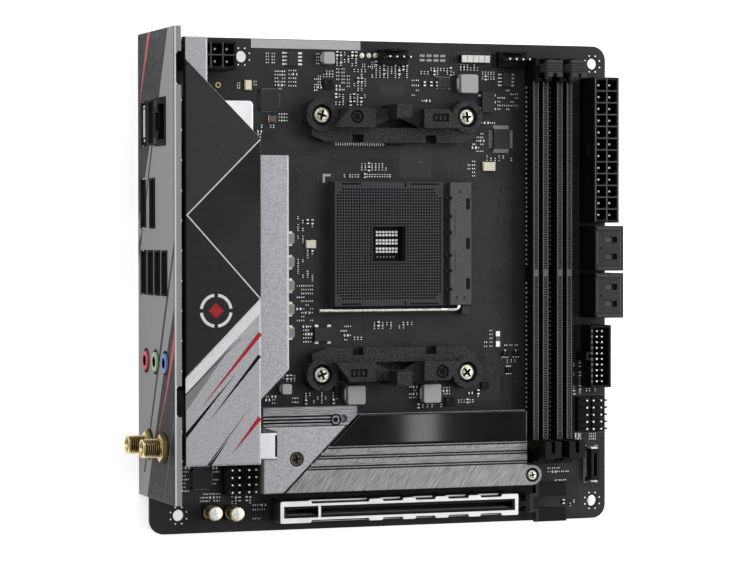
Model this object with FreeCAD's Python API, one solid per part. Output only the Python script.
import FreeCAD, Part
import math
import os

# Mini-ITX computer motherboard, in millimetres.
# The board lies flat: +X runs from the rear connectors to the front edge, +Y from the
# expansion-slot edge to the processor-power edge, and +Z out of the component side.
# Everything is drawn from the board's rear expansion-slot corner at its underside.
# On export it is moved so that the origin is midway between the two standoff holes
# of the expansion-slot edge.

V = FreeCAD.Vector

# ---- board ----
BOARD = 170.18
PCB = 1.6
CORNER_R = 5.0
STANDOFF_R = 1.98
STANDOFF_Y_LOW = 6.35
STANDOFF_Y_HIGH = 163.83
STANDOFF_X_REAR = 10.16
STANDOFF_X_FRONT = 165.10
STANDOFF_X_POWER = 33.02
DATUM_X = (STANDOFF_X_REAR + STANDOFF_X_FRONT) / 2
DATUM_Y = STANDOFF_Y_LOW
STUB = 1.8            # how far solder stubs reach below the board
PIN_PITCH = 2.54

# ---- processor socket and cooler mount ----
CPU_X = 87.4
CPU_Y = 98.9
COOLER_DX = 27.0
COOLER_DY = 45.0
COOLER_HOLE_R = 2.0
SOCKET_X0 = 65.0
SOCKET_X1 = 116.3
SOCKET_Y0 = 77.4
SOCKET_Y1 = 121.0
SOCKET_BASE_TOP = 3.4
SOCKET_TOP = 6.3
WINDOW_X0 = 79.4
WINDOW_Y0 = 92.8
WINDOW = 12.6
LEVER_R = 0.7
LEVER_Y = 76.0
LEVER_AXIS_X = 112.0
LEVER_AXIS_Z = 4.9
LEVER_TIP_X = 60.0

# ---- rear connectors ----
SHIELD_X0 = -2.65
SHIELD_X1 = -2.15
SHIELD_Y0 = 13.8
SHIELD_Y1 = 170.8
SHIELD_Z0 = -2.6
SHIELD_Z1 = 43.2
SHIELD_LIP_X = -0.4
SHIELD_LIP_RUNS = ((SHIELD_Y0, 42.9), (53.0, 151.5), (162.5, SHIELD_Y1))
PORT_FACE_X = -2.95
RING_FACE_X = -3.4
STACK_X0 = -1.9
PORT_WALL = 0.45
LAN_TOP = 33.4
QUAD_TOP = 34.8
VIDEO_TOP = 20.2
AUDIO_SEAMS = (PCB, 13.4, 25.4, 37.2)
AUDIO_RING_R = 3.3
USB_W = 14.6
USB_H = 5.8
LAN_USB_Z = (5.2, 14.0)
QUAD_USB_Z = (4.7, 13.4, 22.1, 30.8)
VIDEO_Z = (4.5, 15.9)
NETWORK_Z = 25.9
LAN_Y = 140.1
VIDEO_Y = 113.1
QUAD_Y = 89.8
QUAD_X1 = 20.0
AUDIO_Y = 60.0
AUDIO_Z = (7.4, 19.4, 31.4)
JACK_R = 1.8
AERIAL_Y = 31.9
AERIAL_Z = (11.3, 30.1)
AERIAL_R = 3.175
AERIAL_NECK_R = 2.9
AERIAL_TIP_X = -10.6
NUT_FACE_X = -4.55

# ---- rear cover and heatsinks ----
COVER_X0 = 1.8
COVER_X1 = 28.2
COVER_Y0 = 26.2
COVER_Y1 = 167.7
COVER_TOP = 39.0
COVER_WALL = 1.3
COVER_NOTCH_X = 9.9   # the cover narrows to this beside the processor-power plug
PANEL_T = 0.7
COLUMN_X0 = 29.3
COLUMN_X1 = 41.0
COLUMN_Y1 = 129.2
COLUMN_TOP = 30.0
M2_TOP = 12.0
M2_BOTTOM = 9.0
M2_Y0 = 13.7
M2_SCREW_X = 137.3
M2_SCREW_Y = 17.25
M2_END_R = 3.55
CHIP_SCREW = (49.4, 25.3)
CHIP_SCREW_R = 2.5

# ---- memory slots ----
DIMM_X = (141.7, 150.9)
DIMM_HALF = 3.1
DIMM_Y0 = 29.2
DIMM_Y1 = 156.8
DIMM_TOP = 9.0
DIMM_SLIT = 0.7
DIMM_KEY_Y = 88.9
TOWER_Y0 = 21.0
TOWER_TOP = 20.5
LATCH_Y1 = 165.0
LATCH_PIVOT_Y = 161.0
LATCH_PIVOT_Z = 4.6
LATCH_TOP = 22.0

# ---- expansion slot ----
PCIE_X0 = 43.2
PCIE_X1 = 131.5
PCIE_Y = 7.15
PCIE_HALF = 3.75
PCIE_TOP = 12.9
PCIE_KEY_X = 57.4
PCIE_RELIEFS = ((53.7, 76.2), (79.9, 88.7), (92.1, 100.8), (104.3, 113.3), (116.5, 125.8))
PCIE_RELIEF_DEPTH = 0.9
PCIE_LATCH_X = 135.0
PCIE_LATCH_Z = 4.5

# ---- power and front connectors ----
POWER_PITCH = 4.2
POWER_TOP = 14.4
POWER_FLOOR = 4.0
ATX_COLUMNS = (162.9, 167.1)
ATX_Y0 = 109.4
ATX_ROWS = 12
CPU_POWER_X0 = 12.0
CPU_POWER_COLUMNS = 4
CPU_POWER_Y = (161.3, 165.5)
SATA_X0 = 160.0
SATA_X1 = 171.0
SATA_W = 16.0
SATA_TOP = 15.6
SATA_Y = (80.7, 97.5)


# ---- helpers ----
def block(x0, y0, z0, x1, y1, z1):
    return Part.makeBox(x1 - x0, y1 - y0, z1 - z0, V(x0, y0, z0))


def post(x, y, z0, z1, r):
    return Part.makeCylinder(r, z1 - z0, V(x, y, z0))


def rod_x(x0, x1, y, z, r):
    return Part.makeCylinder(r, x1 - x0, V(x0, y, z), V(1, 0, 0))


def rod_y(y0, y1, x, z, r):
    return Part.makeCylinder(r, y1 - y0, V(x, y0, z), V(0, 1, 0))


def plate(outline, z0, z1):
    """A flat plate from its outline in plan."""
    corners = [V(x, y, z0) for x, y in outline]
    return Part.Face(Part.makePolygon(corners + corners[:1])).extrude(V(0, 0, z1 - z0))


def side_plate(outline, y0, y1):
    """A plate standing across Y, from its outline in X and Z."""
    corners = [V(x, y0, z) for x, z in outline]
    return Part.Face(Part.makePolygon(corners + corners[:1])).extrude(V(0, y1 - y0, 0))


def fuse(shapes):
    first = shapes[0]
    return first.multiFuse(shapes[1:]).removeSplitter() if len(shapes) > 1 else first


def cut(shape, tools):
    return shape.cut(Part.makeCompound(tools))


def upright_edges(shape):
    found = []
    for edge in shape.Edges:
        ends = [vertex.Point for vertex in edge.Vertexes]
        if len(ends) == 2 and (ends[0] - ends[1]).cross(V(0, 0, 1)).Length < 1e-6:
            found.append(edge)
    return found


def round_corners(shape, r):
    return shape.makeFillet(r, upright_edges(shape))


def break_top(shape, size):
    """A small bevel round the outline of the highest face."""
    top = max(shape.Faces, key=lambda face: face.CenterOfMass.z)
    return shape.makeChamfer(size, top.OuterWire.Edges)


def turned(shape):
    """The same piece turned half round, on the other side of the processor socket."""
    copy = shape.copy()
    copy.rotate(V(CPU_X, CPU_Y, 0), V(0, 0, 1), 180)
    return copy


def save(name, shapes):
    shapes = shapes if isinstance(shapes, list) else [shapes]
    solids = []
    for shape in shapes:
        solids.extend(shape.Solids)
    node = Part.makeCompound(solids) if len(solids) > 1 else solids[0]
    node.translate(V(-DATUM_X, -DATUM_Y, 0))
    node.exportStep("parts/" + name + ".step")


# ---- board ----
def standoff_holes():
    return [(STANDOFF_X_REAR, STANDOFF_Y_LOW), (STANDOFF_X_FRONT, STANDOFF_Y_LOW),
            (STANDOFF_X_POWER, STANDOFF_Y_HIGH), (STANDOFF_X_FRONT, STANDOFF_Y_HIGH)]


def cooler_holes():
    return [(CPU_X + i * COOLER_DX, CPU_Y + j * COOLER_DY) for i in (-1, 1) for j in (-1, 1)]


def board():
    slab = round_corners(block(0, 0, 0, BOARD, BOARD, PCB), CORNER_R)
    holes = [post(x, y, -1, PCB + 1, STANDOFF_R) for x, y in standoff_holes()]
    holes += [post(x, y, -1, PCB + 1, COOLER_HOLE_R) for x, y in cooler_holes()]
    return cut(slab, holes)


# ---- rear connectors ----
def port_list():
    """Each port that passes through the shield: centre Y and Z, width and height."""
    ports = [(LAN_Y, z, USB_W, USB_H) for z in LAN_USB_Z]
    ports += [(QUAD_Y, z, USB_W, USB_H) for z in QUAD_USB_Z]
    ports += [(VIDEO_Y, z, 16.4, 5.6) for z in VIDEO_Z]
    return ports


RJ45 = (LAN_Y, NETWORK_Z, 15.6, 12.8)


def port_shell(port, tongue):
    """The sleeve in front of the stack, and the hollow and tongue inside it."""
    y, z, w, h = port
    shell = block(PORT_FACE_X, y - w / 2, z - h / 2, STACK_X0 + 0.5, y + w / 2, z + h / 2)
    inner_w = w / 2 - PORT_WALL
    inner_h = h / 2 - PORT_WALL
    hollow = block(PORT_FACE_X - 1, y - inner_w, z - inner_h, 9.0, y + inner_w, z + inner_h)
    blade = block(PORT_FACE_X + 1.0, y - inner_w + 1.0, z - 0.9, 9.0, y + inner_w - 1.0, z + 0.9)
    return shell, (cut(hollow, [blade]) if tongue else hollow)


def stack(y, width, depth, top, ports):
    body = block(STACK_X0, y - width / 2, PCB, depth, y + width / 2, top)
    shells, hollows = zip(*[port_shell(port, True) for port in ports])
    return body, list(shells), list(hollows)


def lan_usb_stack():
    body, shells, hollows = stack(LAN_Y, 15.6, 12.6, LAN_TOP, port_list()[:2])
    y, z, w, h = RJ45
    shells.append(block(PORT_FACE_X, y - w / 2, z - h / 2, STACK_X0 + 0.5, y + w / 2, z + h / 2))
    hollows.append(block(PORT_FACE_X - 1, y - 6.1, z - 2.6, 11.5, y + 6.1, z + 5.6))
    hollows.append(block(PORT_FACE_X - 1, y - 3.2, z - 5.4, 11.5, y + 3.2, z - 2.6))
    return cut(fuse([body] + shells), hollows)


def quad_usb_stack():
    body, shells, hollows = stack(QUAD_Y, 15.2, QUAD_X1, QUAD_TOP, port_list()[2:6])
    return cut(fuse([body] + shells), hollows)


def video_stack():
    body, shells, hollows = stack(VIDEO_Y, 16.6, 18.0, VIDEO_TOP, port_list()[6:])
    return cut(fuse([body] + shells), hollows)


def audio_jack(z, bottom, top):
    """One of the three jack bodies stacked on each other."""
    body = block(STACK_X0, AUDIO_Y - 6.5, bottom, 13.5, AUDIO_Y + 6.5, top)
    return cut(body, [rod_x(STACK_X0 - 1, 12.0, AUDIO_Y, z, JACK_R)])


def audio_jacks():
    return [audio_jack(z, bottom, top)
            for z, bottom, top in zip(AUDIO_Z, AUDIO_SEAMS, AUDIO_SEAMS[1:])]


def audio_ring(z):
    ring = rod_x(RING_FACE_X, STACK_X0, AUDIO_Y, z, AUDIO_RING_R)
    return ring.cut(rod_x(RING_FACE_X - 1, 1, AUDIO_Y, z, JACK_R))


def aerial_socket(z):
    thread = rod_x(AERIAL_TIP_X, NUT_FACE_X, AERIAL_Y, z, AERIAL_R)
    neck = rod_x(NUT_FACE_X, 4.0, AERIAL_Y, z, AERIAL_NECK_R)
    hollow = rod_x(AERIAL_TIP_X - 1, AERIAL_TIP_X + 4.0, AERIAL_Y, z, 2.3)
    centre_pin = rod_x(AERIAL_TIP_X + 1.0, AERIAL_TIP_X + 4.5, AERIAL_Y, z, 0.5)
    return thread.fuse(neck).cut(hollow).fuse(centre_pin)


def aerial_nut(z):
    across_corners = 8.0 / math.cos(math.radians(30)) / 2
    corners = []
    for i in range(6):
        angle = math.radians(60 * i)
        corners.append(V(NUT_FACE_X, AERIAL_Y + across_corners * math.cos(angle),
                         z + across_corners * math.sin(angle)))
    width = SHIELD_X0 - NUT_FACE_X
    nut = Part.Face(Part.makePolygon(corners + corners[:1])).extrude(V(width, 0, 0))
    return nut.cut(rod_x(NUT_FACE_X - 1, 1, AERIAL_Y, z, AERIAL_NECK_R + 0.03))


def io_shield():
    sheet = block(SHIELD_X0, SHIELD_Y0, SHIELD_Z0, SHIELD_X1, SHIELD_Y1, SHIELD_Z1)
    lips = [block(SHIELD_X0, y0, SHIELD_Z1 - 0.5, SHIELD_LIP_X, y1, SHIELD_Z1)
            for y0, y1 in SHIELD_LIP_RUNS]
    gap = 0.3
    windows = []
    for y, z, w, h in port_list() + [RJ45]:
        half_w = w / 2 + gap
        half_h = h / 2 + gap
        windows.append(block(-4, y - half_w, z - half_h, -1, y + half_w, z + half_h))
    windows += [rod_x(-4, -1, AUDIO_Y, z, 3.9) for z in AUDIO_Z]
    windows += [rod_x(-4, -1, AERIAL_Y, z, AERIAL_R + 0.15) for z in AERIAL_Z]
    return cut(fuse([sheet] + lips), windows)


def wifi_card():
    card = block(4.0, 28.6, 4.8, 5.0, 50.6, 34.0)
    shield_can = block(5.0, 30.0, 9.0, 6.8, 49.2, 31.0)
    return fuse([card, shield_can])


def wifi_socket():
    return block(3.2, 36.0, PCB, 9.0, 50.2, 4.8)


def coin_cell():
    """Taped to the back of the tall stack of ports."""
    return rod_x(QUAD_X1, QUAD_X1 + 3.2, QUAD_Y, 25.2, 10.0)


# ---- rear cover and regulator heatsinks ----
def cover_outline(inset):
    x0 = COVER_X0 + inset
    x1 = COVER_X1 - inset
    step = inset * math.tan(math.radians(22.5))
    diagonal_y = 134.6 - step
    narrow_x = COVER_NOTCH_X - inset
    return [(x0, COVER_Y0 + inset), (x1, COVER_Y0 + inset), (x1, diagonal_y),
            (narrow_x, diagonal_y + x1 - narrow_x), (narrow_x, COVER_Y1 - inset),
            (x0, COVER_Y1 - inset)]


def io_cover():
    shell = plate(cover_outline(0), 5.0, COVER_TOP)
    shell = break_top(shell, 0.4)
    hollow = plate(cover_outline(COVER_WALL), 0, COVER_TOP - COVER_WALL)
    open_back = block(0, COVER_Y0 + COVER_WALL, 0, COVER_X0 + 3, COVER_Y1 - COVER_WALL,
                      COVER_TOP - COVER_WALL)
    raised_skirt = block(0, 58.0, 0, 40, BOARD, 16.0)
    return cut(shell, [hollow, open_back, raised_skirt])


def io_cover_panel():
    run = COVER_X1 - COVER_X0 - 0.4
    x0 = COVER_X0 + 0.2
    x1 = COVER_X1 - 0.2
    outline = [(x0, 55.6), (x1, 55.6 + run), (x1, 134.4), (x0, 134.4 + run)]
    return break_top(plate(outline, COVER_TOP, COVER_TOP + PANEL_T), 0.3)


def regulator_column():
    run = COLUMN_X1 - COLUMN_X0
    outline = [(COLUMN_X0, 57.1 - run), (COLUMN_X1, 57.1), (COLUMN_X1, COLUMN_Y1),
               (COLUMN_X0, COLUMN_Y1)]
    body = break_top(plate(outline, 8.0, COLUMN_TOP), 0.5)
    grooves = []
    for i in range(4):
        z = 11.5 + 4.2 * i
        grooves.append(block(COLUMN_X1 - 4.0, 40, z, COLUMN_X1 + 1, 140, z + 1.8))
    return cut(body, grooves)


def regulator_base():
    body = break_top(round_corners(block(21.5, 60.0, 4.0, 33.1, 148.0, 15.0), 1.5), 0.3)
    return body.cut(block(COLUMN_X0, 50, 8.0, 40, COLUMN_Y1, 20))


def regulator_switches():
    return [block(23.6, 63.0 + 10.4 * i, PCB, 28.6, 69.0 + 10.4 * i, 2.8) for i in range(8)]


def regulator_chokes():
    return [block(33.9, 61.0 + 8.2 * i, PCB, 40.3, 67.4 + 8.2 * i, 6.6) for i in range(8)]


def thermal_pads():
    return [block(22.5, 62.0, 2.8, 30.0, 146.0, 4.0), block(34.1, 60.5, 6.6, 40.1, 125.0, 8.0),
            block(66.5, 17.0, 8.0, 131.0, 36.5, M2_BOTTOM), block(41.0, 20.0, 3.6, 53.0, 35.0, 4.2)]


# ---- chipset and storage heatsinks ----
def chipset():
    return [block(37.8, 17.5, PCB, 55.4, 38.5, 2.6), block(42.0, 22.0, 2.6, 51.0, 33.0, 3.6)]


def chipset_heatsink():
    foot = block(38.0, 15.0, 4.2, 56.5, 42.0, 8.2)
    deck = block(37.4, 13.9, 8.2, 56.5, 36.8, M2_BOTTOM)
    ridge = block(37.4, 36.8, 8.2, 71.4, 43.2, M2_TOP)
    grooves = [block(37, 37.5 + 1.1 * i, 10.4, 62.6, 38.1 + 1.1 * i, 20) for i in range(3)]
    slope = plate([(60.0, 36.7), (67.9, 36.7), (71.7, 40.5), (71.7, 36.7)], 8.0, 20)
    boss_hole = post(66.3, 38.9, 10.6, 20, 1.5)
    screw_hole = post(CHIP_SCREW[0], CHIP_SCREW[1], 5.0, 20, 1.1)
    return cut(fuse([foot, deck, ridge]), grooves + [slope, boss_hole, screw_hole])


def chipset_plate():
    outline = [(37.5, M2_Y0), (44.6, M2_Y0), (67.4, 36.5), (37.5, 36.5)]
    body = break_top(plate(outline, M2_BOTTOM, M2_TOP), 0.25)
    tab_notch = block(30, 25.5, 8, 42.3, 34.8, 20)
    head = post(CHIP_SCREW[0], CHIP_SCREW[1], 10.6, 20, CHIP_SCREW_R + 0.05)
    shank = post(CHIP_SCREW[0], CHIP_SCREW[1], 5, 20, 1.1)
    return cut(body, [tab_notch, head, shank])


def link_bracket():
    arm = block(28.4, 25.7, 11.2, 42.1, 34.6, 12.6)
    foot = block(37.6, 25.7, M2_BOTTOM, 42.1, 34.6, 11.2)
    return fuse([arm, foot])


def m2_heatsink():
    end = post(M2_SCREW_X, M2_SCREW_Y, M2_BOTTOM, M2_TOP, M2_END_R)
    wide = 2 * M2_END_R
    strip = plate([(45.5, M2_Y0), (M2_SCREW_X, M2_Y0), (M2_SCREW_X, M2_Y0 + wide),
                   (45.5 + wide, M2_Y0 + wide)], M2_BOTTOM, M2_TOP)
    ridges_y1 = 29.6
    ridges = plate([(45.5 + wide, M2_Y0 + wide), (135.3, M2_Y0 + wide), (135.3, ridges_y1),
                    (45.5 + ridges_y1 - M2_Y0, ridges_y1)], M2_BOTTOM, M2_TOP)
    shelf_y1 = 40.3
    shelf = plate([(45.5 + ridges_y1 - M2_Y0, ridges_y1), (135.3, ridges_y1), (135.3, shelf_y1),
                   (45.5 + shelf_y1 - M2_Y0, shelf_y1)], M2_BOTTOM, 10.0)
    grooves = []
    for y in (21.3, 24.9, 28.5):
        grooves.append(block(40, y, 10.9, 140, y + 0.45, 20))
        grooves.append(block(40, y + 0.85, 10.9, 140, y + 1.3, 20))
    head = post(M2_SCREW_X, M2_SCREW_Y, 11.0, 20, 2.5)
    hole = post(M2_SCREW_X, M2_SCREW_Y, 0, 20, 1.3)
    return cut(fuse([strip, end, ridges, shelf]), grooves + [head, hole])


def m2_gloss_strip():
    outline = [(62.0, 29.8), (135.1, 29.8), (135.1, 40.2), (72.4, 40.2)]
    return break_top(plate(outline, 10.0, 12.6), 0.3)


def m2_socket():
    body = block(58.6, 16.4, PCB, 65.0, 38.4, 6.2)
    return body.cut(block(60.6, 17.4, 4.0, 66, 37.4, 5.0))


def m2_posts():
    tall = post(M2_SCREW_X, M2_SCREW_Y, PCB, M2_BOTTOM, 2.2)
    tall = tall.cut(post(M2_SCREW_X, M2_SCREW_Y, 4, 20, 1.1))
    return [tall, post(136.4, 27.4, PCB, 4.6, 2.2)]


def phillips_screw(x, y, head_bottom, head_top, head_r, shank_bottom, shank_r):
    head = post(x, y, head_bottom, head_top, head_r)
    head = head.makeFillet(0.3 * (head_top - head_bottom), [head.Edges[0]])
    screw = head.fuse(post(x, y, shank_bottom, head_bottom, shank_r))
    reach = head_r * 0.6
    arm = head_r * 0.14
    depth = head_top - 0.45 * (head_top - head_bottom)
    slots = [block(x - reach, y - arm, depth, x + reach, y + arm, 20),
             block(x - arm, y - reach, depth, x + arm, y + reach, 20)]
    return cut(screw, slots)


# ---- processor socket ----
def socket_base():
    slab = block(SOCKET_X0, SOCKET_Y0, PCB, SOCKET_X1, SOCKET_Y1, SOCKET_BASE_TOP)
    ear = block(113.4, 74.4, PCB, 116.0, SOCKET_Y0, 4.6)
    return fuse([slab, ear])


def socket_cover():
    body = block(SOCKET_X0 + 0.3, SOCKET_Y0 + 0.2, SOCKET_BASE_TOP + 0.05,
                 105.6, SOCKET_Y1 - 0.2, SOCKET_TOP)
    body = break_top(round_corners(body, 0.8), 0.3)
    return body.cut(block(WINDOW_X0, WINDOW_Y0, 0, WINDOW_X0 + WINDOW, WINDOW_Y0 + WINDOW, 20))


def socket_cam_box():
    body = block(108.1, SOCKET_Y0 + 0.2, SOCKET_BASE_TOP,
                 SOCKET_X1, SOCKET_Y1 - 0.1, SOCKET_TOP + 0.2)
    body = break_top(round_corners(body, 0.5), 0.25)
    return body.cut(rod_y(70, SOCKET_Y1 - 3.0, LEVER_AXIS_X, LEVER_AXIS_Z, LEVER_R + 0.1))


def socket_lever():
    """One bent wire: the shaft inside the cam box, a rounded corner, and the long arm."""
    bend = 1.5
    shaft_end = V(LEVER_AXIS_X, SOCKET_Y1 - 3.5, LEVER_AXIS_Z)
    tip = V(LEVER_TIP_X, LEVER_Y, LEVER_AXIS_Z)
    corner = V(LEVER_AXIS_X, LEVER_Y, LEVER_AXIS_Z)
    on_shaft = corner + V(0, bend, 0)
    on_arm = corner + V(-bend, 0, 0)
    middle = corner + V(-bend, bend, 0) + V(1, -1, 0).normalize() * bend
    path = Part.Wire([Part.LineSegment(shaft_end, on_shaft).toShape(),
                      Part.Arc(on_shaft, middle, on_arm).toShape(),
                      Part.LineSegment(on_arm, tip).toShape()])
    section = Part.Wire(Part.makeCircle(LEVER_R, shaft_end, V(0, 1, 0)))
    return path.makePipeShell([section], True, False)


def socket_contacts():
    """Capacitor pads in the middle window, three rows."""
    pads = []
    for row in range(3):
        for column in range(8):
            x = WINDOW_X0 + 1.5 + 1.25 * column
            y = WINDOW_Y0 + 2.7 + 3.1 * row
            pads.append(block(x, y, SOCKET_BASE_TOP, x + 0.8, y + 1.6, SOCKET_BASE_TOP + 0.5))
    return pads


def cooler_bracket():
    bosses = [post(CPU_X + i * COOLER_DX, CPU_Y + COOLER_DY, PCB, 7.5, 5.7) for i in (-1, 1)]
    bar_y0 = CPU_Y + 35.7
    bar_y1 = CPU_Y + 40.9
    bar = plate([(CPU_X - 30.5, bar_y0 + 2.2), (CPU_X - 25.4, bar_y0), (CPU_X + 25.4, bar_y0),
                 (CPU_X + 30.5, bar_y0 + 2.2), (CPU_X + 30.5, bar_y1), (CPU_X - 30.5, bar_y1)],
                PCB, 6.5)
    back_y = CPU_Y + 47.4
    cheeks = []
    for side in (-1, 1):
        outline = [(CPU_X + side * 23.6, bar_y1 - 0.2), (CPU_X + side * 18.4, back_y),
                   (CPU_X + side * 9.0, back_y), (CPU_X + side * 9.0, bar_y1 - 0.2)]
        cheeks.append(plate(outline, PCB, 12.0))
    web = plate([(CPU_X - 9.2, bar_y1 - 0.2), (CPU_X - 2.8, bar_y1 + 2.8), (CPU_X + 2.8, bar_y1 + 2.8),
                 (CPU_X + 9.2, bar_y1 - 0.2), (CPU_X + 9.2, back_y), (CPU_X - 9.2, back_y)],
                PCB, 8.0)
    lug = block(CPU_X - 2.8, CPU_Y + 43.9, PCB, CPU_X + 2.8, CPU_Y + 48.8, 16.5)
    body = fuse(bosses + [bar, web, lug] + cheeks)
    cuts = []
    for side in (-1, 1):
        x = CPU_X + side * COOLER_DX
        cuts.append(post(x, CPU_Y + COOLER_DY, 0, 20, COOLER_HOLE_R))
        cuts.append(post(x, CPU_Y + COOLER_DY, 5.0, 20, 3.7))
        notch_x = CPU_X + side * 13.6
        cuts.append(block(notch_x - 2.0, bar_y0 - 1, 0, notch_x + 2.0, bar_y0 + 2.7, 20))
    cuts.append(post(CPU_X - 15.8, CPU_Y + 44.4, 11.5, 20, 2.4))
    cuts.append(block(CPU_X + 12.2, CPU_Y + 43.0, 11.5, CPU_X + 18.2, CPU_Y + 45.8, 20))
    return cut(body, cuts)


def cooler_screws():
    return [phillips_screw(x, y, 5.0, 7.2, 3.1, -2.2, 1.7) for x, y in cooler_holes()]


def cooler_backplate():
    outer = block(CPU_X - 33.5, CPU_Y - 51.5, -2.8, CPU_X + 33.5, CPU_Y + 51.5, -0.4)
    outer = round_corners(outer, 6.0)
    middle = round_corners(block(CPU_X - 17, CPU_Y - 32, -4, CPU_X + 17, CPU_Y + 32, 1), 4.0)
    holes = [post(x, y, -4, 1, 1.75) for x, y in cooler_holes()]
    return cut(outer, [middle] + holes)


def backplate_insulator():
    sheet = block(CPU_X - 33.5, CPU_Y - 51.5, -0.4, CPU_X + 33.5, CPU_Y + 51.5, 0)
    sheet = round_corners(sheet, 6.0)
    middle = round_corners(block(CPU_X - 17, CPU_Y - 32, -4, CPU_X + 17, CPU_Y + 32, 1), 4.0)
    holes = [post(x, y, -4, 1, COOLER_HOLE_R) for x, y in cooler_holes()]
    return cut(sheet, [middle] + holes)


# ---- memory slots ----
def dimm_slot(x):
    x0 = x - DIMM_HALF
    x1 = x + DIMM_HALF
    bar = block(x0, DIMM_Y0 - 1, PCB, x1, DIMM_Y1 + 1, DIMM_TOP)
    tower = block(x0, TOWER_Y0 + 2.6, PCB, x1, DIMM_Y0 + 0.3, TOWER_TOP)
    step = block(x0, TOWER_Y0 + 1.2, PCB, x1, TOWER_Y0 + 3, 15.0)
    toe = block(x0, TOWER_Y0, PCB, x1, TOWER_Y0 + 2, 9.5)
    cheek_block = block(x0, DIMM_Y1, PCB, x1, LATCH_Y1, 12.0)
    slit = block(x - DIMM_SLIT, TOWER_Y0 + 4.4, 3.2, x + DIMM_SLIT, DIMM_Y1 + 1.3, 30)
    latch_bay = block(x - 1.8, DIMM_Y1 + 1.2, 3.0, x + 1.8, LATCH_Y1 + 1, 30)
    pivot_hole = rod_x(x - 2.4, x + 2.4, LATCH_PIVOT_Y, LATCH_PIVOT_Z, 0.9)
    body = cut(fuse([bar, tower, step, toe, cheek_block]), [slit, latch_bay, pivot_hole])
    key = block(x - DIMM_SLIT, DIMM_KEY_Y - 0.8, 3.2,
                x + DIMM_SLIT, DIMM_KEY_Y + 0.8, DIMM_TOP - 1.2)
    return body.fuse(key).removeSplitter()


def dimm_latch(x):
    """The swinging latch: stem on its pivot pin, hook towards the module, ribbed thumb pad."""
    foot = rod_x(x - 1.7, x + 1.7, LATCH_PIVOT_Y, LATCH_PIVOT_Z, 1.3)
    pin = rod_x(x - 2.3, x + 2.3, LATCH_PIVOT_Y, LATCH_PIVOT_Z, 0.8)
    stem = block(x - 1.7, LATCH_PIVOT_Y - 1.3, LATCH_PIVOT_Z, x + 1.7, LATCH_PIVOT_Y + 1.6, 19.8)
    hook = block(x - 0.6, DIMM_Y1 + 0.5, 13.5, x + 0.6, LATCH_PIVOT_Y - 1, 15.4)
    pad = block(x - 2.9, DIMM_Y1 + 0.9, 19.8, x + 2.9, LATCH_PIVOT_Y + 2.6, LATCH_TOP)
    pad = pad.cut(block(x - 0.75, DIMM_Y1, 19.0, x + 0.75, DIMM_Y1 + 2.2, 30))
    grooves = []
    for i in range(4):
        y = DIMM_Y1 + 2.6 + 0.95 * i
        grooves.append(block(x - 3.5, y, LATCH_TOP - 0.4, x + 3.5, y + 0.4, 30))
    return cut(fuse([foot, pin, stem, hook, pad]), grooves)


def contact_tails(x):
    """Rows of solder feet along both sides of a memory slot, each row on its carrier strip."""
    rows = []
    pitch = 1.7
    count = int((DIMM_Y1 - DIMM_Y0 - 2) / pitch)
    for side in (-1, 1):
        inner = x + side * DIMM_HALF
        outline = []
        for i in range(count):
            y = DIMM_Y0 + 1.5 + pitch * i
            outline += [(inner + side * 0.2, y), (inner + side * 0.9, y),
                        (inner + side * 0.9, y + 0.5), (inner + side * 0.2, y + 0.5)]
        outline += [(inner, outline[-1][1]), (inner, outline[0][1])]
        rows.append(plate(outline, PCB, PCB + 0.35))
    return rows


# ---- expansion slot ----
def pcie_slot():
    half = PCIE_HALF - 0.5
    body = block(PCIE_X0 + 0.5, PCIE_Y - half, PCB, PCIE_X1 - 0.5, PCIE_Y + half, 12.3)
    lip = block(PCIE_X0 + 1.4, PCIE_Y - 1.9, 12.3, PCIE_X1 - 1.4, PCIE_Y + 1.9, PCIE_TOP - 0.1)
    ears = [block(PCIE_X1 - 0.6, PCIE_Y + a, PCB, 137.5, PCIE_Y + b, 7.0)
            for a, b in ((-half, -2.15), (2.15, half))]
    slits = [block(PCIE_X0 + 2.2, PCIE_Y - 1.2, 4.4, PCIE_KEY_X - 0.75, PCIE_Y + 1.2, 20),
             block(PCIE_KEY_X + 0.75, PCIE_Y - 1.2, 4.4, PCIE_X1 - 2.2, PCIE_Y + 1.2, 20)]
    pivot = rod_y(PCIE_Y - 2.9, PCIE_Y + 2.9, PCIE_LATCH_X, PCIE_LATCH_Z, 0.9)
    return cut(fuse([body, lip] + ears), slits + [pivot])


def pcie_shell():
    y0 = PCIE_Y - PCIE_HALF
    y1 = PCIE_Y + PCIE_HALF
    outer = round_corners(block(PCIE_X0, y0, PCB + 0.1, PCIE_X1, y1, PCIE_TOP), 0.6)
    inner = block(PCIE_X0 + 0.5, y0 + 0.5, 0, PCIE_X1 - 0.5, y1 - 0.5, 12.3)
    window = block(PCIE_X0 + 1.3, PCIE_Y - 2.0, 0, PCIE_X1 - 1.3, PCIE_Y + 2.0, 20)
    latch_gap = block(PCIE_X1 - 1, y0 + 0.4, 0, PCIE_X1 + 1, y1 - 0.4, 8.6)
    reliefs = []
    for x0, x1 in PCIE_RELIEFS:
        for outer_y, inner_y in ((y0 - 1, y0 + PCIE_RELIEF_DEPTH), (y1 + 1, y1 - PCIE_RELIEF_DEPTH)):
            reliefs.append(plate([(x0, outer_y), (x1, outer_y), (x1 - 0.9, inner_y),
                                  (x0 + 0.9, inner_y)], 9.5, 20))
    return cut(outer, [inner, window, latch_gap] + reliefs)


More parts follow.
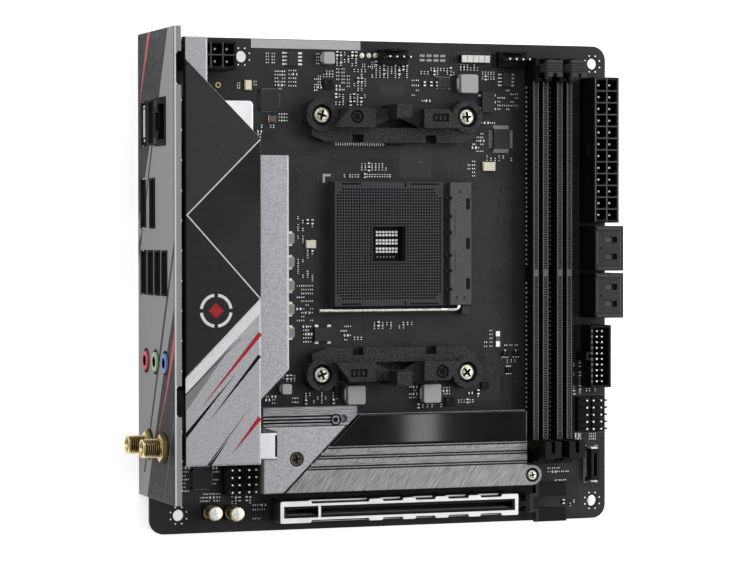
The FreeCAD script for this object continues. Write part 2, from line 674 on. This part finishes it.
def pcie_contacts():
    """The two contact rows on the slot's inner walls, each on its carrier strip."""
    combs = []
    runs = ((PCIE_X0 + 2.5, 11), (PCIE_KEY_X + 1.2, 71))
    for y0, y1 in ((PCIE_Y - 1.2, PCIE_Y - 0.95), (PCIE_Y + 0.95, PCIE_Y + 1.2)):
        for x0, count in runs:
            outline = [(x0 + count - 0.5, 4.6), (x0, 4.6)]
            for i in range(count):
                outline += [(x0 + i, 10.8), (x0 + i + 0.5, 10.8)]
                if i < count - 1:
                    outline += [(x0 + i + 0.5, 5.4), (x0 + i + 1, 5.4)]
            combs.append(side_plate(outline, y0, y1))
    return combs


def pcie_latch():
    """The rocking latch at the slot's front end: hub on its pin, hook, and two finger wings."""
    hub = block(PCIE_LATCH_X - 2.3, PCIE_Y - 2.0, 3.4, PCIE_LATCH_X + 3.0, PCIE_Y + 2.0, 9.6)
    pin = rod_y(PCIE_Y - 2.8, PCIE_Y + 2.8, PCIE_LATCH_X, PCIE_LATCH_Z, 0.8)
    hook = block(PCIE_LATCH_X - 2.6, PCIE_Y - 0.9, 9.0, PCIE_LATCH_X, PCIE_Y + 0.9, 11.6)
    outline = [(PCIE_LATCH_X, 9.2), (PCIE_LATCH_X + 4.4, 6.9), (151.8, 6.9), (151.8, 8.8),
               (PCIE_LATCH_X + 6.2, 8.8), (PCIE_LATCH_X + 1.6, 11.2), (PCIE_LATCH_X, 11.2)]
    wing = side_plate(outline, PCIE_Y - 6.95, PCIE_Y + 6.95)
    gap = block(PCIE_LATCH_X + 3.4, PCIE_Y - 2.0, 0, 152, PCIE_Y + 2.0, 20)
    shoulders = [block(PCIE_LATCH_X - 1, PCIE_Y + a, 0, PCIE_LATCH_X + 4.6, PCIE_Y + b, 20)
                 for a, b in ((-7.5, -3.4), (3.4, 7.5))]
    return fuse([hub, pin, hook, cut(wing, [gap] + shoulders)])


# ---- power connectors ----
def power_housing(xs, ys):
    wall = 2.8
    body = block(xs[0] - wall, ys[0] - wall, PCB, xs[-1] + wall, ys[-1] + wall, POWER_TOP)
    cells = [block(x - 1.75, y - 1.75, POWER_FLOOR, x + 1.75, y + 1.75, 30)
             for x in xs for y in ys]
    return break_top(cut(body, cells), 0.3)


def power_pins(xs, ys):
    pins = []
    for x in xs:
        for y in ys:
            pins.append(block(x - 0.4, y - 0.4, POWER_FLOOR, x + 0.4, y + 0.4, 12.0))
            pins.append(block(x - 0.4, y - 0.4, -STUB, x + 0.4, y + 0.4, 0))
    return pins


def atx_rows():
    return [ATX_Y0 + POWER_PITCH * i for i in range(ATX_ROWS)]


def cpu_power_columns():
    return [CPU_POWER_X0 + POWER_PITCH * i for i in range(CPU_POWER_COLUMNS)]


def atx_housing():
    body = power_housing(ATX_COLUMNS, atx_rows())
    middle = (ATX_Y0 + POWER_PITCH * (ATX_ROWS - 1) / 2)
    ramp = block(ATX_COLUMNS[0] - 3.9, middle - 2.4, 6.0, ATX_COLUMNS[0] - 2.7, middle + 2.4, 10.5)
    return fuse([body, ramp])


# ---- drive ports, headers and small connectors ----
def sata_stack(y):
    body = block(SATA_X0, y - SATA_W / 2, PCB, SATA_X1, y + SATA_W / 2, SATA_TOP)
    hollows = []
    for z in (5.2, 12.0):
        hollow = block(SATA_X1 - 6.5, y - 6.9, z - 2.3, SATA_X1 + 1, y + 6.9, z + 2.3)
        blade = block(SATA_X1 - 6.6, y - 5.2, z - 0.6, SATA_X1 - 1.0, y + 5.2, z + 0.6)
        hollows.append(hollow.cut(blade))
    windows = []
    for offset in (-3.0, 3.0):
        windows.append(block(SATA_X0 + 3.6, y + offset - 1.0, SATA_TOP - 0.9,
                             SATA_X0 + 8.4, y + offset + 1.0, 30))
    return cut(body, hollows + windows)


def usb3_header():
    body = block(160.6, 47.6, PCB, 168.6, 70.0, 10.4)
    hollow = block(161.5, 48.5, 3.6, 167.7, 69.1, 20)
    key = block(158.8, 57.4, PCB, 160.7, 60.4, 10.4)
    key_hollow = block(159.6, 58.1, 3.6, 162, 59.7, 20)
    return cut(fuse([body, key]), [hollow, key_hollow])


def header_pins(xs, ys, floor, top):
    pins = []
    for x in xs:
        for y in ys:
            pins.append(block(x - 0.32, y - 0.32, floor, x + 0.32, y + 0.32, top))
            pins.append(block(x - 0.32, y - 0.32, -STUB, x + 0.32, y + 0.32, 0))
    return pins


def usb3_pins():
    rows = [49.8 + 2.0 * i for i in range(10)]
    return header_pins((163.6, 165.6), rows, 3.6, 9.0)


def pin_headers():
    """Front-panel, front-USB and front-audio headers: columns and rows of each strip."""
    front_rows = [32.8 + PIN_PITCH * i for i in range(5)]
    rear_rows = [14.3 + PIN_PITCH * i for i in range(4)]
    return [((159.6, 162.1), front_rows), ((165.1, 167.6), front_rows),
            ((27.1, 29.6), rear_rows), ((33.1, 35.6), rear_rows)]


def header_bases():
    edge = 1.2
    return [block(xs[0] - edge, ys[0] - edge, PCB, xs[-1] + edge, ys[-1] + edge, 4.1)
            for xs, ys in pin_headers()]


def all_header_pins():
    pins = []
    for xs, ys in pin_headers():
        pins += header_pins(xs, ys, 4.1, 9.6)
    return pins


def fan_columns():
    return [[84.2 + PIN_PITCH * i for i in range(4)], [129.2 + PIN_PITCH * i for i in range(4)]]


def fan_headers():
    shapes = []
    for xs in fan_columns():
        base = block(xs[0] - 1.5, 161.9, PCB, xs[-1] + 1.5, 167.3, 4.4)
        fence = block(xs[0] + 0.6, 166.3, 4.4, xs[-1] - 0.6, 167.3, 10.0)
        shapes.append(fuse([base, fence]))
    return shapes


def fan_pins():
    pins = []
    for xs in fan_columns():
        pins += header_pins(xs, [164.4], 4.4, 11.0)
    return pins


def led_header():
    body = block(113.4, 163.2, PCB, 124.2, 165.9, 4.1)
    slots = [block(115.6 + PIN_PITCH * i, 163, 3.2, 116.0 + PIN_PITCH * i, 166, 20)
             for i in range(4)]
    return cut(body, slots)


def edge_connector():
    """The small upright board-to-board socket near the front standoff hole."""
    body = block(162.9, 14.0, PCB, 166.3, 25.2, 5.6)
    return body.cut(block(163.8, 15.6, 3.0, 165.4, 23.6, 20))


def edge_connector_tabs():
    return [block(163.6, y, PCB, 165.7, y + 0.7, 4.4) for y in (13.3, 25.2)]


# ---- components soldered to the board ----
def chips():
    """Each chip's low corner, high corner and height above the board."""
    sizes = [(39.4, 145.2, 46.6, 152.7, 0.9), (49.4, 160.9, 53.2, 166.0, 1.4),
             (126.2, 132.9, 132.6, 139.9, 1.4), (121.6, 145.7, 126.6, 153.3, 1.8),
             (59.0, 65.3, 65.9, 70.3, 1.4), (14.8, 15.2, 21.9, 22.2, 0.9),
             (129.7, 155.0, 133.2, 159.9, 1.4), (105.2, 154.2, 109.6, 157.9, 0.9),
             (66.4, 45.4, 69.0, 50.6, 0.9)]
    return [block(x0, y0, PCB, x1, y1, PCB + h) for x0, y0, x1, y1, h in sizes]


def choke(x, y, half, height):
    body = block(x - half, y - half, PCB, x + half, y + half, PCB + height)
    return break_top(round_corners(body, 0.6), 0.3)


def chokes():
    return [choke(73.6, 46.5, 3.3, 4.0), choke(101.9, 46.5, 3.3, 4.0), choke(116.0, 155.7, 3.3, 4.0),
            choke(48.4, 49.0, 1.8, 3.0), choke(63.9, 163.8, 2.1, 3.2)]


def crystals():
    sizes = [(122.5, 125.1, 127.0, 128.2), (56.2, 97.8, 59.7, 100.5), (34.1, 152.4, 36.3, 155.7),
             (42.7, 141.4, 45.2, 143.5)]
    return [block(x0, y0, PCB, x1, y1, PCB + 1.0) for x0, y0, x1, y1 in sizes]


def tantalum_capacitors():
    return [block(48.6, 67.0 + 8.15 * i, PCB, 51.6, 70.2 + 8.15 * i, 3.6) for i in range(5)]


def can_capacitor(x, y):
    can = post(x, y, 2.4, 9.4, 2.5)
    can = can.makeFillet(0.4, [can.Edges[0]])
    foot = round_corners(block(x - 2.6, y - 2.6, PCB, x + 2.6, y + 2.6, 2.4), 0.4)
    return can.fuse(foot)


def can_capacitors():
    return [can_capacitor(21.2, 7.3), can_capacitor(29.0, 6.9)]


def edge_label():
    return block(36.4, 166.9, PCB, 76.4, 170.0, PCB + 0.15)


# ---- export ----
def main():
    os.makedirs("parts", exist_ok=True)
    save("pcb", board())
    save("io_shield", io_shield())
    save("lan_usb_stack", lan_usb_stack())
    save("video_port_stack", video_stack())
    save("quad_usb_stack", quad_usb_stack())
    save("audio_jack_block", audio_jacks())
    for colour, z in zip(("pink", "green", "blue"), AUDIO_Z):
        save("audio_ring_" + colour, audio_ring(z))
    save("aerial_sockets", [aerial_socket(z) for z in AERIAL_Z])
    save("aerial_nuts", [aerial_nut(z) for z in AERIAL_Z])
    save("wifi_card", wifi_card())
    save("coin_cell", coin_cell())
    save("io_cover", io_cover())
    save("io_cover_panel", io_cover_panel())
    save("regulator_heatsink_column", regulator_column())
    save("regulator_heatsink_base", regulator_base())
    save("regulator_switches", regulator_switches())
    save("regulator_chokes", regulator_chokes())
    save("thermal_pads", thermal_pads())
    save("chipset", chipset())
    save("chipset_heatsink", chipset_heatsink())
    save("chipset_heatsink_plate", chipset_plate())
    save("heatsink_link_bracket", link_bracket())
    save("m2_heatsink", m2_heatsink())
    save("m2_gloss_strip", m2_gloss_strip())
    save("card_sockets", [m2_socket(), wifi_socket()])
    save("m2_standoffs", m2_posts())
    save("m2_heatsink_screw", phillips_screw(M2_SCREW_X, M2_SCREW_Y, 11.0, 12.3, 1.9, 5.0, 1.05))
    x, y = CHIP_SCREW
    save("chipset_plate_screw", phillips_screw(x, y, 10.6, 12.0, CHIP_SCREW_R, 5.5, 1.05))
    save("cpu_socket_base", socket_base())
    save("cpu_socket_cover", socket_cover())
    save("cpu_socket_cam_box", socket_cam_box())
    save("cpu_socket_lever", socket_lever())
    save("cpu_socket_capacitors", socket_contacts())
    bracket = cooler_bracket()
    save("cooler_brackets", [bracket, turned(bracket)])
    save("cooler_screws", cooler_screws())
    save("cooler_backplate", cooler_backplate())
    save("backplate_insulator", backplate_insulator())
    for letter, x in zip("ab", DIMM_X):
        save("dimm_slot_" + letter, dimm_slot(x))
        save("dimm_latch_" + letter, dimm_latch(x))
    save("dimm_contact_tails", contact_tails(DIMM_X[0]) + contact_tails(DIMM_X[1]))
    save("pcie_slot_housing", pcie_slot())
    save("pcie_slot_shell", pcie_shell())
    save("pcie_slot_contacts", pcie_contacts())
    save("pcie_latch", pcie_latch())
    save("main_power_header", atx_housing())
    save("cpu_power_header", power_housing(cpu_power_columns(), CPU_POWER_Y))
    pins = power_pins(ATX_COLUMNS, atx_rows()) + power_pins(cpu_power_columns(), CPU_POWER_Y)
    save("power_header_pins", pins)
    save("sata_stacks", [sata_stack(y) for y in SATA_Y])
    save("usb3_header", usb3_header())
    save("pin_header_bases", header_bases() + fan_headers() + [led_header()])
    save("header_pins", usb3_pins() + all_header_pins() + fan_pins())
    save("edge_connector", edge_connector())
    save("chips", chips() + [edge_label()])
    save("chokes", chokes())
    save("capacitors", tantalum_capacitors() + can_capacitors())
    save("crystals", crystals() + edge_connector_tabs())


main()
